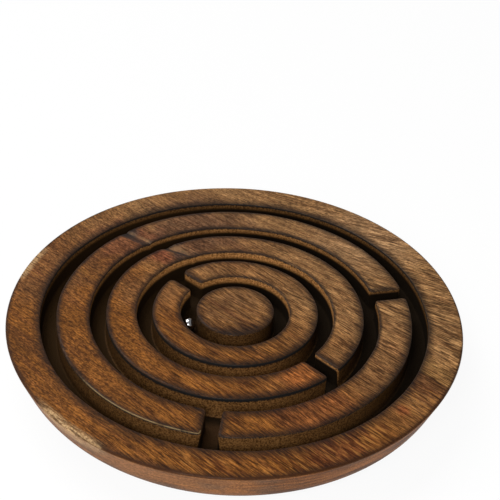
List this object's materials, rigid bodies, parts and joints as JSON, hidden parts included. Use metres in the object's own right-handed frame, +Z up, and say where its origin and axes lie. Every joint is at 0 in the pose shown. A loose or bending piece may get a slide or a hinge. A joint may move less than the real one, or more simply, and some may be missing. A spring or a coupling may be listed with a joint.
{
  "type": "dexterity puzzle",
  "caption": "Round carved wooden labyrinth board with concentric ring grooves, gates through the ring walls and loose steel balls that roll in the grooves.",
  "frame": {"origin": "middle of the flat base, under the middle of the board", "axes": "+Z up through the middle of the board, +Y along the wood's grain, towards the gate in the inner ring wall"},
  "size_m": [0.1534, 0.1534, 0.019],
  "materials": {
    "carved_wood": "waxed satin, dark brown along the edges",
    "ball_steel": "polished"
  },
  "bodies": {
    "board": {"maze_board": "carved_wood"},
    "ball_1": {"steel_ball_1": "ball_steel"},
    "ball_2": {"steel_ball_2": "ball_steel"},
    "ball_3": {"steel_ball_3": "ball_steel"}
  },
  "joints": [
    {"name": "ball_1_roll", "type": "hinge", "parent": "board", "child": "ball_1", "pos_m": [0, 0, 0.01348], "axis": [0, 0, 1], "continuous": true},
    {"name": "ball_2_roll", "type": "hinge", "parent": "board", "child": "ball_2", "pos_m": [0, 0, 0.01348], "axis": [0, 0, 1], "continuous": true},
    {"name": "ball_3_roll", "type": "hinge", "parent": "board", "child": "ball_3", "pos_m": [0, 0, 0.01348], "axis": [0, 0, 1], "continuous": true}
  ]
}
